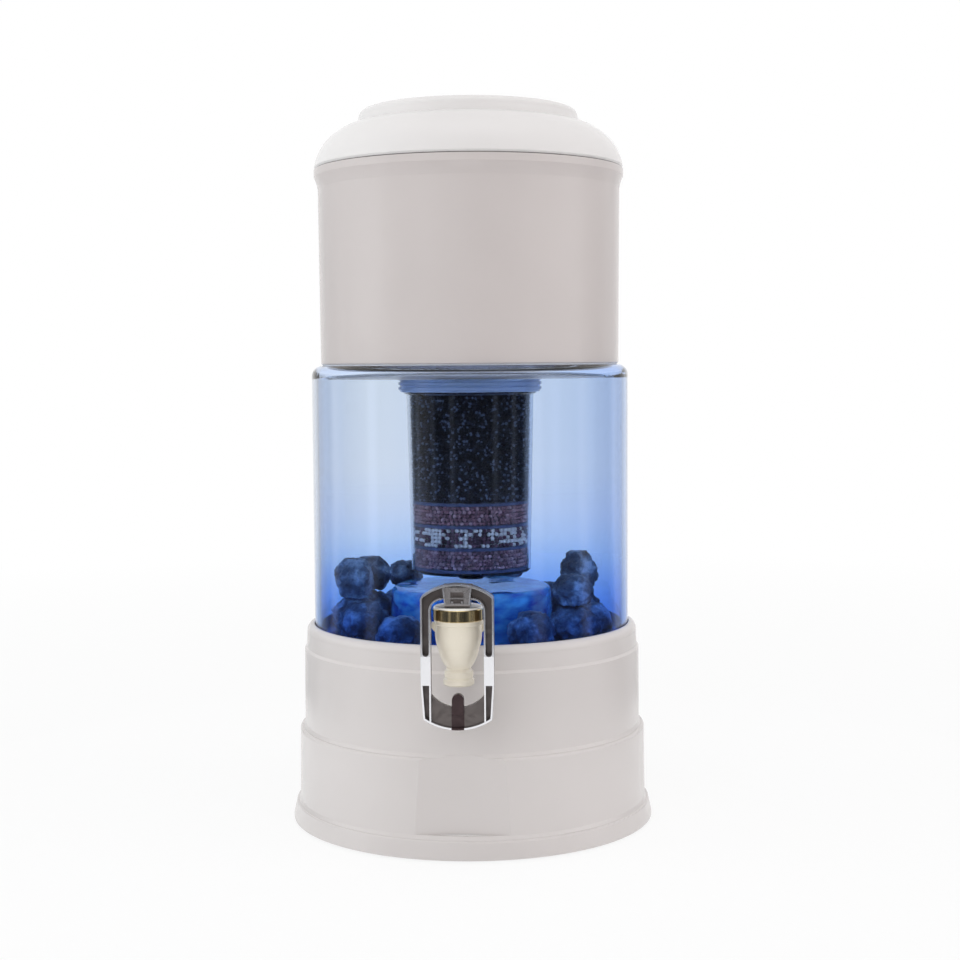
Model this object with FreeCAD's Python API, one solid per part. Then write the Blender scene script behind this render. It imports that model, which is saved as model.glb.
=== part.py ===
import FreeCAD, Part
import math
import os

# Gravity water filter with a push-back tap. Millimetres, +Z up, tap towards -Y.
# The origin is the point of the table under the middle of the stand.

# Clearances
slip = 0.3  # between pieces that turn or lift past each other
running = 0.06  # radial, between a shaft and its hole
loose = 0.2  # round the filter beds
over = 1.0  # how far a cut runs past the face that it opens
touching = 1e-7  # points nearer than this are one

# Glass tank
glass_radius = 109.15
glass_wall = 4.0
glass_height = 193.3
shoulder_round = 7.0
heel_round = 9.0
mouth_rim = 5.15  # flat width between the shoulder and the mouth
floor_thickness = 5.0
hill_radius = 55.5  # of the raised floor
hill_height = 35.0  # above the floor round it
hill_draft = 2.5
hill_round = 4.0

# Stand
glass_gap = 0.5  # between the glass and the rim of the stand
rim_wall = 5.55
rim_step = 1.6  # from the rim out to the upper band
step_width = 4.0  # from the upper band out to the lower band
flange_width = 4.6  # from the lower band out to the foot
flange_height = 13.5
flange_lean = 2.0  # how far the flange leans in over its height
flange_nose = 1.5
kick_height = 1.5  # the upright strip at the foot
band_cove = 2.2  # where a band meets the step under it
band_draft = 0.7
step_height = 65.5
rim_step_height = 120.0
rim_bevel = 0.9
rim_draft = 0.6
rim_round = 6.0
rim_land = 1.2
stand_height = 136.5
stand_wall = 3.0
edge_height = 1.5  # lower edge of the stand above the table
flat_proud = 0.1  # of the flat at the front, in front of the upper band
flat_margin = 0.4  # between the flange's cove and the foot of the flat
seat_depth = 18.5  # from the rim down to the deck
rib_count = 8
rib_height = 22.0
rib_thickness = 2.0
rib_hub_radius = 20.5
rib_hub_wall = 2.5
rib_bite = 0.5  # how far the ribs and posts run into the wall
post_count = 4  # round the edge, besides the one in the middle
post_radius = 8.0
post_web = 3.0
post_web_lift = 4.0  # of the web's foot above the pad
pad_radius = 9.0
pad_thickness = 3.0
pad_stud_radius = 2.5
pad_stud_length = 6.0
cushion_thickness = 3.0
cushion_width = 20.0

# Upper tank
gasket_thickness = 0.7
gasket_margin = 0.6  # between the gasket's edges and those of the glass's flat rim
tank_inset = 6.45  # of the tank's foot from the side of the glass
tank_flare = 0.8
tank_wall = 2.9
tank_height = 132.9
tank_foot_bevel = 0.8
bead_proud = 2.6
bead_height = 13.6
bead_land = 5.4
bead_cove = 0.4
seam_bevel = 0.8
plug_depth = 5.6
plug_gap = 1.4  # between the plug and the mouth of the glass
tank_floor = 4.0
tank_heel = 1.5
ledge_height = 1.0
ledge_rise = 4.0

# Lid
lid_inset = 0.3  # of the lid's edge from the bead
lid_wall = 2.8
lid_edge = 1.4
dome_height = 30.4
shoulder_width = 16.5
shoulder_bulge = 3.3
haunch_width = 13.0
haunch_rise = 5.2
haunch_bulge = 0.9
hat_height = 9.7
hat_lean = 1.2
hat_round = 5.0
hat_crown = 0.5
skirt_depth = 6.0
skirt_wall = 2.4
lip_thickness = 2.5
lip_inset = 0.4

# First filter in the upper tank
stub_radius = 12.5
stub_bore = 6.0
stub_recess = 2.0  # of the stub's end inside the cartridge's neck
filter_base_radius = 46.0
filter_base_thickness = 6.0
filter_base_edge = 1.0
filter_lip_height = 5.6
filter_lip_wall = 3.0
filter_lip_draft = 1.0
sponge_radius = 38.0
sponge_height = 64.0
sponge_wall = 9.0
washer_radius = 24.0
washer_thickness = 2.0

# Cartridge
seal_ring_thickness = 2.4
cap_radius = 49.8
cap_height = 11.0
cap_roof = 4.0
cap_wall = 3.3
cap_edge = 1.0
ridge_depth = 1.2
ridge_count = 3
ridge_share = 0.55  # of the pitch that is full radius
ridge_bevel = 0.1  # of the pitch, at each side of a groove
neck_wall = 4.2
neck_length = 16.0
jar_collar = 2.2  # how far the jar's collar stands out inside the cap
jar_collar_drop = 2.0  # of the collar below the cap
jar_taper = 2.5  # less radius at the foot than at the cap
jar_wall = 2.0
jar_floor = 2.0
jar_edge = 1.2
bed_height = 13.2
screen_thickness = 2.0
screen_slots = 10
screen_slot_width = 3.0
screen_slot_start = 10.0
screen_slot_end = 31.0
carbon_room = 0.6  # between the carbon and the cap
nozzle_radius = 9.7
nozzle_length = 5.8
nozzle_bore = 4.0
nozzle_wall = 1.5
nozzle_bevel = 1.5
nozzle_gap = 4.7  # between the nozzle and the raised floor

# Mineral stones
stone_count = 12
stone_free_angle = 64.0  # left without stones behind the tap
stone_spacing = 0.36
stone_wall_gap = 2.1  # to the glass and to the raised floor
stone_sides = 8
stone_profile = ((0.0, 0.74), (0.38, 1.0), (0.72, 0.93), (1.0, 0.52))  # share of height, of width
stone_roughness = 0.11
lower_stone_height = 26.5
lower_stone_swing = 3.5
stone_joint = 0.2
upper_stone_half = 17.4
upper_stone_height = 17.0
upper_stones = {1: 1.24, 3: 1.71, 5: 1.0, 7: 1.06, 8: 1.47, 9: 1.65}  # place, share of that height

# Tap body
tap_reach = 35.85  # from the glass to the spout's axis
tap_flange_radius = 14.0
tap_flange_thickness = 3.5
flange_gap = 0.8  # between the tap's flange and the rim of the stand
outer_gasket_thickness = 3.5
inner_gasket_thickness = 3.5
gasket_radius = 13.2
shank_radius = 8.0
shank_bore = 4.2
shank_clearance = 0.4
nut_width = 24.0
nut_thickness = 7.0
shank_end = 4.0  # past the nut
branch_radius = 7.0
branch_drop = 0.5  # of the branch below the chamber's top
chamber_height = 40.5  # from the spout's mouth to the top of the chamber
chamber_bore = 11.0
lip_radius = 14.9
lip_height = 2.3
collar_radius = 14.0
collar_bevel = 1.0
belly_bulge = 1.05
cup_radius = 12.7
cup_height = 22.8
cup_bulge = 0.9
waist_radius = 7.3
waist_height = 10.5
spout_ring_radius = 8.9
spout_ring_foot = 4.6
spout_ring_top = 8.6
spout_ring_bevel = 0.5
spout_rim_radius = 9.6
spout_rim_height = 3.4
spout_rim_bevel = 0.9
spout_bore = 5.5
seat_height = 17.7  # from the spout's mouth to the bottom of the valve seat
seat_rise = 7.0
ear_reach = 16.8
ear_height = 7.5
ear_tip = 3.0
ear_depth = 6.0
ear_root = 4.0  # inside the collar's radius
ear_lift = 5.0  # of the ear's top above the shank's axis
ear_set_back = 1.0  # of the ear's front from the spout's axis

# Gold ring and bonnet
gold_radius = 15.7
gold_height = 7.4
gold_bevel = 0.5
bonnet_radius = 13.4
bonnet_top_radius = 15.2
bonnet_top_thickness = 1.1
bonnet_edge = 0.6
bonnet_plug_depth = 3.0
guide_radius = 4.8
guide_depth = 5.3

# Valve
stem_radius = 2.5
stem_collar_radius = 7.6
stem_collar_thickness = 1.4
stem_above_pin = 3.4
plug_height = 7.9
plug_dip = 1.1  # of the valve seal's tip below the seat
plug_rim = 1.2
plug_tip_radius = 4.2
plug_knee = 1.5
plug_tip = 1.6  # rubber under the stem
spring_radius = 6.3
spring_wire = 1.1
spring_turns = 4
pin_radius = 1.5

# Lever
cam_height = 6.6  # from the pin to the flat foot of the hub
cam_front = 12.5  # from the pin to the hub's front
cam_back = 5.5
cam_round = 2.2
hub_top_half = 8.9
hub_rib = 0.9  # width of the ribs along the hub's sides
hub_rib_proud = 1.0
hub_foot_half = 7.6
slot_side = 0.4  # room for the stem in the hub's slot
slot_front = 2.2
slot_top = 4.6  # above the pin
hub_pocket_half = 4.0
hub_pocket_height = 6.8
hub_pocket_depth = 1.2
hub_pocket_foot = 2.8
hub_inset_half = 2.3
hub_inset_height = 3.8
hub_inset_depth = 0.8
hub_inset_lift = 0.4
dot_radius = 0.7
dot_spacing = 6.0
dot_proud = 0.25
lever_above_pin = 8.2
lever_length = 89.6
lever_half = 22.3
foot_narrowing = 1.3
knee_height = 27.0  # where the sides start to narrow
arch_rise = 8.0
foot_rise = 6.6
lever_corner = 3.5
lever_depth = 8.5
lever_proud = 3.0  # how far the frame stands in front of the hub
lever_web = 2.2
lever_rim = 1.1
rail_width = 6.1
top_width = 9.5
window_round = 7.0
window_foot = 21.2  # the window's lower corners above the lever's foot
window_sag = 8.0
inner_rim = 1.0
upper_groove_length = 44.2
plain_length = 17.8
foot_set_back = 1.6
pad_recess = 2.4
tab_half = 3.65
tab_rise = 8.6  # above the middle of the window's foot
tab_foot = 9.0
tab_proud = 1.4
tab_back = 0.5

# Radii and places that follow from the sizes above
glass_inner = glass_radius - glass_wall
mouth_radius = glass_radius - shoulder_round - mouth_rim
rim_radius = glass_radius + glass_gap + rim_wall
upper_band_radius = rim_radius + rim_step
lower_band_radius = upper_band_radius + step_width
foot_radius = lower_band_radius + flange_width
front_flat = upper_band_radius + flat_proud
post_circle = upper_band_radius - stand_wall - post_radius
tank_base_radius = glass_radius - tank_inset
tank_top_radius = tank_base_radius + tank_flare
bead_radius = tank_top_radius + bead_proud
plug_radius = mouth_radius - plug_gap
lid_radius = bead_radius - lid_inset
hat_radius = lid_radius - shoulder_width - haunch_width
neck_radius = stub_radius + slip + neck_wall
jar_top_radius = cap_radius - cap_wall - loose - jar_collar
jar_foot_radius = jar_top_radius - jar_taper
hill_foot_radius = hill_radius + hill_draft
stone_step = (360.0 - stone_free_angle) / (stone_count - 1)
stone_circle = (glass_inner + hill_foot_radius) / 2
stone_half_depth = (glass_inner - hill_foot_radius) / 2 - stone_wall_gap
stone_half_width = stone_circle * math.sin(math.radians(stone_step / 2)) - stone_spacing
lever_foot_half = lever_half - foot_narrowing
window_half = lever_half - rail_width

deck_top = stand_height - seat_depth
deck_under = deck_top - stand_wall
glass_bottom = deck_top + cushion_thickness
glass_top = glass_bottom + glass_height
glass_floor = glass_bottom + floor_thickness
hill_top = glass_floor + hill_height
tank_seat = glass_top + gasket_thickness
tank_top = tank_seat + tank_height
tank_under = tank_seat - plug_depth
tank_inside = tank_under + tank_floor
base_foot = tank_inside + washer_thickness
base_top = base_foot + filter_base_thickness
cap_top = tank_under - seal_ring_thickness
cap_foot = cap_top - cap_height
neck_foot = cap_top - neck_length
jar_foot = hill_top + nozzle_gap + nozzle_length
spout_y = -(glass_radius + tap_reach)
shank_z = stand_height + flange_gap + tap_flange_radius
flange_back = -(glass_radius + outer_gasket_thickness)
nut_front = -glass_inner + inner_gasket_thickness
shank_back = nut_front + nut_thickness + shank_end
chamber_top = shank_z + branch_radius + branch_drop
spout_foot = chamber_top - chamber_height
seat_foot = spout_foot + seat_height
plug_top = seat_foot - plug_dip + plug_height
gold_top = chamber_top + gold_height
bonnet_top = gold_top + bonnet_top_thickness
pin_z = bonnet_top + slip + cam_height
hub_front = spout_y - cam_front
lever_front = hub_front - lever_proud
lever_back = lever_front + lever_depth
lever_top = pin_z + lever_above_pin
lever_foot = lever_top - lever_length
groove_end = lever_top - upper_groove_length
plain_end = groove_end - plain_length


def point(a, b, plane):
    """A point of an outline: (radius, height) in xz, (y, height) in yz."""
    if plane == "xz":
        return FreeCAD.Vector(a, 0, b)
    return FreeCAD.Vector(0, a, b)


def outline(path, plane="xz"):
    """A closed face. Each entry is a corner, or (middle, end) for an arc to end."""
    edges = []
    start = last = point(*path[0], plane)
    for entry in path[1:]:
        curved = isinstance(entry[0], tuple)
        end = point(*(entry[1] if curved else entry), plane)
        if curved:
            edges.append(Part.Arc(last, point(*entry[0], plane), end).toShape())
        else:
            edges.append(Part.makeLine(last, end))
        last = end
    if last.distanceToPoint(start) > touching:
        edges.append(Part.makeLine(last, start))
    return Part.Face(Part.Wire(edges))


def quarter(start, end):
    """(middle, end) of the quarter-round from start to end that bulges away from the axis."""
    (a, b), (c, d) = start, end
    corner = (a, d) if a > c else (c, b)
    centre = (c, b) if a > c else (a, d)
    reach = math.sqrt(0.5)
    middle = tuple(o + (n - o) * reach for o, n in zip(centre, corner))
    return (middle, end)


def bowed(start, end, bulge):
    """(middle, end) of an arc that stands off its chord, to the right of its way if positive."""
    (a, b), (c, d) = start, end
    share = bulge / math.hypot(c - a, d - b)
    return (((a + c) / 2 + (d - b) * share, (b + d) / 2 - (c - a) * share), end)


def revolved(path):
    """The path turned about Z."""
    return outline(path).revolve(FreeCAD.Vector(0, 0, 0), FreeCAD.Vector(0, 0, 1), 360)


def rod(radius, low, high, x=0.0):
    """An upright cylinder."""
    return Part.makeCylinder(radius, high - low, FreeCAD.Vector(x, 0, low))


def rod_y(radius, front, back, z):
    """A cylinder along Y."""
    return Part.makeCylinder(radius, back - front, FreeCAD.Vector(0, front, z), FreeCAD.Vector(0, 1, 0))


def ring(inner, outer, low, high):
    """An upright ring about Z."""
    return rod(outer, low, high).cut(rod(inner, low - over, high + over))


def block(x, y, z):
    """A box from three (low, high) pairs."""
    return Part.makeBox(x[1] - x[0], y[1] - y[0], z[1] - z[0], FreeCAD.Vector(x[0], y[0], z[0]))


def moved(shape, x=0.0, y=0.0):
    """A copy moved across the table."""
    copy = shape.copy()
    copy.translate(FreeCAD.Vector(x, y, 0))
    return copy


def spun(shape, angle):
    """A copy turned about Z, in degrees."""
    copy = shape.copy()
    copy.rotate(FreeCAD.Vector(0, 0, 0), FreeCAD.Vector(0, 0, 1), angle)
    return copy


def round_the_axis(shape, count, first=0.0):
    """Copies spread evenly about Z."""
    return [spun(shape, first + 360.0 * i / count) for i in range(count)]


def at_spout(shape):
    """A copy moved from the Z axis to the spout's axis."""
    return moved(shape, y=spout_y)


def plate(path, front, back):
    """An outline in xz, extruded along Y."""
    return moved(outline(path), y=front).extrude(FreeCAD.Vector(0, back - front, 0))


# Stand


def band_points(inset):
    """Corners of the stand's two bands, moved in by inset."""
    lower = lower_band_radius - inset
    upper = upper_band_radius - inset
    return {
        "lower_foot": (lower, flange_height + band_cove),
        "lower_edge": (lower - band_draft, step_height - band_cove),
        "shelf": (lower - band_draft - band_cove, step_height),
        "upper_foot": (upper, step_height + band_cove),
    }


def stand_outline():
    """Half section of the stand's outside."""
    corner = band_points(0)
    nose = (foot_radius - flange_lean, flange_height - flange_nose)
    flange_shelf = (nose[0] - flange_nose, flange_height)
    rim_edge = (rim_radius - rim_draft, stand_height - rim_round)
    rim_crown = (glass_radius + glass_gap + rim_land, stand_height)
    path = [(0, edge_height), (foot_radius, edge_height), (foot_radius, edge_height + kick_height)]
    path += [nose, quarter(nose, flange_shelf), corner["lower_foot"], corner["lower_edge"]]
    path += [quarter(corner["lower_edge"], corner["shelf"]), corner["upper_foot"]]
    path += [(upper_band_radius - band_draft / 2, rim_step_height - rim_bevel)]
    path += [(rim_radius, rim_step_height + rim_bevel), rim_edge, quarter(rim_edge, rim_crown)]
    return path + [(0, stand_height)]


def hollow_outline():
    """Half section of the space under the deck."""
    corner = band_points(stand_wall)
    low = edge_height - over
    foot = foot_radius - stand_wall
    path = [(0, low), (foot, low), (foot - flange_lean, flange_height - flange_nose)]
    path += [corner["lower_foot"], corner["lower_edge"], corner["upper_foot"]]
    return path + [(upper_band_radius - band_draft / 2 - stand_wall, deck_under), (0, deck_under)]


def front_room(distance):
    """The space in front of a flat at that distance, over the foot flange."""
    reach = 2 * foot_radius
    foot = flange_height + band_cove + flat_margin
    top = step_height + band_cove + flat_margin
    return block((-reach, reach), (-reach, -distance), (foot, top))


def make_stand():
    """The stepped shell, its deck, ribs and posts."""
    body = revolved(stand_outline()).cut(front_room(front_flat))
    hollow = revolved(hollow_outline()).cut(front_room(front_flat - stand_wall))
    well = rod(glass_radius + glass_gap, deck_top, stand_height + over)
    shell = body.cut([hollow, well])
    reach = upper_band_radius - stand_wall + rib_bite
    rib_foot = deck_under - rib_height
    top = deck_under + over
    hub_inner = rib_hub_radius - rib_hub_wall
    rib = block((post_radius - rib_bite, reach), (-rib_thickness / 2, rib_thickness / 2), (rib_foot, top))
    hub = ring(hub_inner, rib_hub_radius, rib_foot, deck_under)
    web = block((post_circle, reach), (-post_web / 2, post_web / 2), (pad_thickness + post_web_lift, top))
    post = rod(post_radius, pad_thickness, top, post_circle).fuse(web)
    extras = round_the_axis(rib, rib_count) + round_the_axis(post, post_count, 45)
    stand = shell.fuse([hub, rod(post_radius, pad_thickness, top)] + extras)
    hole = rod(pad_stud_radius + running, 0, pad_thickness + pad_stud_length)
    return stand.cut([hole] + round_the_axis(moved(hole, post_circle), post_count, 45))


def make_feet():
    """Rubber pads with studs pushed into the posts, the first one in the middle."""
    pad = rod(pad_radius, 0, pad_thickness)
    pad = pad.fuse(rod(pad_stud_radius, pad_thickness - over, pad_thickness + pad_stud_length))
    return [pad] + round_the_axis(moved(pad, post_circle), post_count, 45)


def make_cushion():
    """The soft ring that the glass stands on."""
    outer = glass_radius - heel_round
    return ring(outer - cushion_width, outer, deck_top, glass_bottom)


# Glass tank


def hill_outline(inset):
    """Half section of the raised floor, or with an inset of the hollow under it."""
    crown = (hill_radius - inset - hill_round, hill_top - inset)
    edge = (hill_radius - inset, hill_top - inset - hill_round)
    foot = (hill_foot_radius - inset, glass_bottom - over)
    bend = crown if inset else quarter(edge, crown)
    return [(0, foot[1]), foot, edge, bend, (0, crown[1])]


def make_glass():
    """The tank with its rounded shoulder, narrower mouth and raised floor."""
    foot = (glass_radius - heel_round, glass_bottom)
    heel = (glass_radius, glass_bottom + heel_round)
    shoulder = (glass_radius, glass_top - shoulder_round)
    top = (glass_radius - shoulder_round, glass_top)
    body = [(0, glass_bottom), foot, quarter(foot, heel), shoulder, quarter(shoulder, top), (0, glass_top)]
    heel_inside = heel_round - glass_wall
    shoulder_inside = shoulder_round - glass_wall / 2
    roof = glass_top - glass_wall
    room_foot = (glass_inner - heel_inside, glass_floor)
    room_heel = (glass_inner, glass_floor + heel_inside)
    room_shoulder = (glass_inner, roof - shoulder_inside)
    room_top = (glass_inner - shoulder_inside, roof)
    room = [(0, glass_floor), room_foot, quarter(room_foot, room_heel), room_shoulder]
    room += [quarter(room_shoulder, room_top), (mouth_radius, roof)]
    room += [(mouth_radius, glass_top + over), (0, glass_top + over)]
    room = revolved(room).cut(revolved(hill_outline(0)))
    glass = revolved(body).cut([room, revolved(hill_outline(floor_thickness))])
    return glass.cut(rod_y(shank_radius + shank_clearance, -glass_radius - over, 0, shank_z))


def stone_corners(share, spread, level, size, seed):
    """One ring of a stone's corners, as (share of the height, outwards, across)."""
    corners = []
    for side in range(stone_sides):
        turn = 2 * math.pi * (side + 0.5 * (level % 2)) / stone_sides
        wave = math.sin(2.3 * seed + 4.1 * side + 1.7 * level)
        reach = spread * (1 - stone_roughness * (1 + wave))
        corners.append((share, size[0] * reach * math.cos(turn), size[1] * reach * math.sin(turn)))
    return corners


def boulder(place, low, high, size, seed):
    """A rough faceted stone with a flat foot and top, at its place on the circle."""
    rings = []
    for level, (share, spread) in enumerate(stone_profile):
        corners = stone_corners(share, spread, level, size, seed)
        rings.append([FreeCAD.Vector(stone_circle + a, b, low + s * (high - low)) for s, a, b in corners])
    faces = [Part.Face(Part.makePolygon(c + c[:1])) for c in (rings[0], rings[-1])]
    for level, (a, b) in enumerate(zip(rings, rings[1:])):
        for i in range(stone_sides):
            j = (i + 1) % stone_sides
            k = (i + level % 2) % stone_sides
            m = (k - 1) % stone_sides
            faces.append(Part.Face(Part.makePolygon([a[i], a[j], b[k], a[i]])))
            faces.append(Part.Face(Part.makePolygon([a[i], b[k], b[m], a[i]])))
    stone = Part.Solid(Part.Shell(faces))
    if stone.Volume < 0:
        stone.reverse()
    return spun(stone, place)


def make_stones():
    """A ring of stones on the floor, with more on top of some of them."""
    stones = []
    lower_size = (stone_half_depth, stone_half_width)
    upper_size = (upper_stone_half, upper_stone_half)
    for i in range(stone_count):
        place = -90 + stone_free_angle / 2 + stone_step * i
        swing = 0 if i in upper_stones else lower_stone_swing * math.sin(2.1 * i)
        top = glass_floor + lower_stone_height + swing
        stones.append(boulder(place, glass_floor, top, lower_size, i))
        if i in upper_stones:
            foot = top + stone_joint
            head = foot + upper_stones[i] * upper_stone_height
            stones.append(boulder(place, foot, head, upper_size, i + 5))
    return stones


# Upper tank and lid


def make_upper_tank():
    """The tank with its rim bead and the plug that sits in the glass."""
    bead_foot = (tank_top_radius, tank_top - bead_height)
    bead_edge = (bead_radius, tank_top - bead_land)
    path = [(0, tank_under), (plug_radius, tank_under), (plug_radius, tank_seat)]
    path += [(tank_base_radius - tank_foot_bevel, tank_seat)]
    path += [(tank_base_radius, tank_seat + tank_foot_bevel), bead_foot]
    path += [bowed(bead_foot, bead_edge, -bead_cove), (bead_radius, tank_top - seam_bevel)]
    path += [(bead_radius - seam_bevel, tank_top), (0, tank_top)]
    well = plug_radius - tank_wall
    ledge = tank_seat + ledge_height
    room = [(0, tank_inside), (well - tank_heel, tank_inside), (well, tank_inside + tank_heel)]
    room += [(well, ledge), (tank_base_radius - tank_wall, ledge + ledge_rise)]
    room += [(tank_top_radius - tank_wall, tank_top + over), (0, tank_top + over)]
    hole = rod(stub_radius + slip, tank_under - over, tank_inside + over)
    return revolved(path).cut([revolved(room), hole])


def make_tank_gasket():
    """The thin ring between the tank and the glass."""
    outer = glass_radius - shoulder_round - gasket_margin
    return ring(mouth_radius + gasket_margin, outer, glass_top, tank_seat)


def lid_outline(inset, low):
    """Half section of the lid's outside, or with an inset of its inside."""
    dome = tank_top + dome_height - inset
    hat_top = dome + hat_height
    wall = (lid_radius - inset, tank_top + lid_edge)
    flank = (lid_radius - shoulder_width - 0.75 * inset, dome - haunch_rise + 0.25 * inset)
    hat_foot = (hat_radius - inset, dome)
    hat_edge = (hat_foot[0] - hat_lean, hat_top - hat_round)
    brow = (hat_edge[0] - hat_round, hat_top)
    foot = lid_radius - (inset or seam_bevel)
    path = [(0, low), (foot, low), wall, bowed(wall, flank, shoulder_bulge)]
    path += [bowed(flank, hat_foot, haunch_bulge), hat_edge]
    path += [brow if inset else quarter(hat_edge, brow), (0, hat_top + hat_crown)]
    return path


def make_lid():
    """The domed shell with its raised hat and the skirt that centres it."""
    shell = revolved(lid_outline(0, tank_top)).cut(revolved(lid_outline(lid_wall, tank_top - over)))
    outer = tank_top_radius - tank_wall - 2 * slip
    inner = outer - skirt_wall
    top = tank_top + lip_thickness
    skirt = ring(inner, outer, tank_top - skirt_depth, top)
    lip = ring(inner, lid_radius - seam_bevel - lip_inset, tank_top, top)
    return shell.fuse([lip, skirt]).removeSplitter()


# First filter


def make_filter_base():
    """The disc that holds the dome, with the stub that the cartridge screws on."""
    edge = filter_base_edge
    lip = base_top + filter_lip_height
    pocket = sponge_radius + loose
    lip_outer = pocket + filter_lip_wall
    stub_foot = neck_foot + stub_recess
    path = [(stub_bore, stub_foot), (stub_radius, stub_foot), (stub_radius, base_foot)]
    path += [(filter_base_radius - edge, base_foot), (filter_base_radius, base_foot + edge)]
    path += [(filter_base_radius, base_top - edge), (filter_base_radius - edge, base_top)]
    path += [(lip_outer + filter_lip_draft, base_top), (lip_outer, lip), (pocket, lip)]
    return revolved(path + [(pocket, base_top), (stub_bore, base_top)])


def make_sponge():
    """The hollow dome of fine sponge."""
    top = base_top + sponge_height
    spring = top - sponge_radius
    inner = sponge_radius - sponge_wall
    path = [(inner, base_top), (sponge_radius, base_top), (sponge_radius, spring)]
    path += [quarter((sponge_radius, spring), (0, top)), (0, top - sponge_wall)]
    return revolved(path + [quarter((0, top - sponge_wall), (inner, spring))])


def make_washer(low, thickness):
    """A flat washer round the stub."""
    return ring(stub_radius + slip, washer_radius, low, low + thickness)


# Cartridge


def make_cap():
    """The ridged clear cap with its threaded neck."""
    groove = cap_radius - ridge_depth
    neck_inner = stub_radius + slip
    roof = cap_top - cap_roof
    pitch = (cap_height - cap_edge) / ridge_count
    path = [(neck_inner, cap_top), (cap_radius - cap_edge, cap_top), (cap_radius, cap_top - cap_edge)]
    for i in range(ridge_count):
        start = cap_top - cap_edge - i * pitch
        path.append((cap_radius, start - ridge_share * pitch))
        path.append((groove, start - (ridge_share + ridge_bevel) * pitch))
        if i < ridge_count - 1:
            path.append((groove, start - (1 - ridge_bevel) * pitch))
            path.append((cap_radius, start - pitch))
    path += [(groove, cap_foot), (cap_radius - cap_wall, cap_foot), (cap_radius - cap_wall, roof)]
    return revolved(path + [(neck_radius, roof), (neck_radius, neck_foot), (neck_inner, neck_foot)])


def jar_radius(z):
    """The jar's outer radius at a height."""
    return jar_foot_radius + jar_taper * (z - jar_foot) / (cap_foot - jar_foot)


def make_jar():
    """The tapered clear jar, open at the top."""
    top = cap_top - cap_roof
    collar = cap_radius - cap_wall - loose
    shelf = cap_foot - jar_collar_drop
    floor = jar_foot + jar_floor
    edge = jar_foot + jar_edge
    path = [(0, jar_foot), (jar_foot_radius - jar_edge, jar_foot), (jar_radius(edge), edge)]
    path += [(jar_radius(shelf), shelf), (collar, shelf + jar_edge), (collar, top), (0, top)]
    room = [(0, floor), (jar_radius(floor) - jar_wall, floor)]
    room += [(jar_radius(top) - jar_wall, top + over), (0, top + over)]
    hole = rod(nozzle_bore + nozzle_wall, jar_foot - over, floor + over)
    return revolved(path).cut([revolved(room), hole])


def layer(low, high):
    """A tapered layer that fills the jar between two heights."""
    foot = jar_radius(low) - jar_wall - loose
    top = jar_radius(high) - jar_wall - loose
    return revolved([(0, low), (foot, low), (top, high), (0, high)])


def make_screen(low):
    """A disc with slots like spokes."""
    high = low + screen_thickness
    half = screen_slot_width / 2
    slot = block((screen_slot_start, screen_slot_end), (-half, half), (low - over, high + over))
    return layer(low, high).cut(round_the_axis(slot, screen_slots))


def make_cartridge_fill():
    """The four screens, three ball beds and the carbon, from the floor of the jar up."""
    parts = {}
    z = jar_foot + jar_floor
    for screen, bed in (
        ("bottom_screen", "lower_ball_bed"),
        ("lower_screen", "middle_ball_bed"),
        ("upper_screen", "upper_ball_bed"),
    ):
        parts[screen] = make_screen(z)
        z += screen_thickness
        parts[bed] = layer(z, z + bed_height)
        z += bed_height
    parts["carbon_screen"] = make_screen(z)
    neck = rod(neck_radius + loose, neck_foot - loose, cap_top)
    parts["carbon_bed"] = layer(z + screen_thickness, cap_foot - carbon_room).cut(neck)
    return parts


def make_nozzle():
    """The dark outlet pushed into the jar's floor."""
    foot = jar_foot - nozzle_length
    stem = nozzle_bore + nozzle_wall - running
    path = [(nozzle_bore, foot), (nozzle_radius - nozzle_bevel, foot), (nozzle_radius, foot + nozzle_bevel)]
    path += [(nozzle_radius, jar_foot), (stem, jar_foot), (stem, jar_foot + jar_floor)]
    return revolved(path + [(nozzle_bore, jar_foot + jar_floor)])


# Tap body


def chamber_outline():
    """Half section of the outside of the chamber and spout, about the spout's axis."""
    foot = spout_foot
    lip = chamber_top - lip_height
    ring_edge = spout_ring_radius - spout_ring_bevel
    waist = (waist_radius, foot + waist_height)
    cup = (cup_radius, foot + cup_height)
    collar = (collar_radius, lip - collar_bevel)
    path = [(0, foot), (spout_rim_radius - spout_rim_bevel, foot), (spout_rim_radius, foot + spout_rim_bevel)]
    path += [(spout_rim_radius, foot + spout_rim_height), (ring_edge, foot + spout_ring_foot)]
    path += [(spout_ring_radius, foot + spout_ring_foot + 2 * spout_ring_bevel)]
    path += [(spout_ring_radius, foot + spout_ring_top), waist]
    path += [bowed(waist, cup, cup_bulge), bowed(cup, collar, belly_bulge), (lip_radius, lip)]
    return path + [(lip_radius, chamber_top), (0, chamber_top)]


def make_ear():
    """One of the lugs at the sides of the chamber."""
    top = shank_z + ear_lift
    root = collar_radius - ear_root
    path = [(root, top - ear_height), (collar_radius - collar_bevel, top - ear_height)]
    path += [(ear_reach, top - ear_tip), (ear_reach, top), (root, top)]
    front = spout_y + ear_set_back
    return plate(path, front, front + ear_depth)


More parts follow.
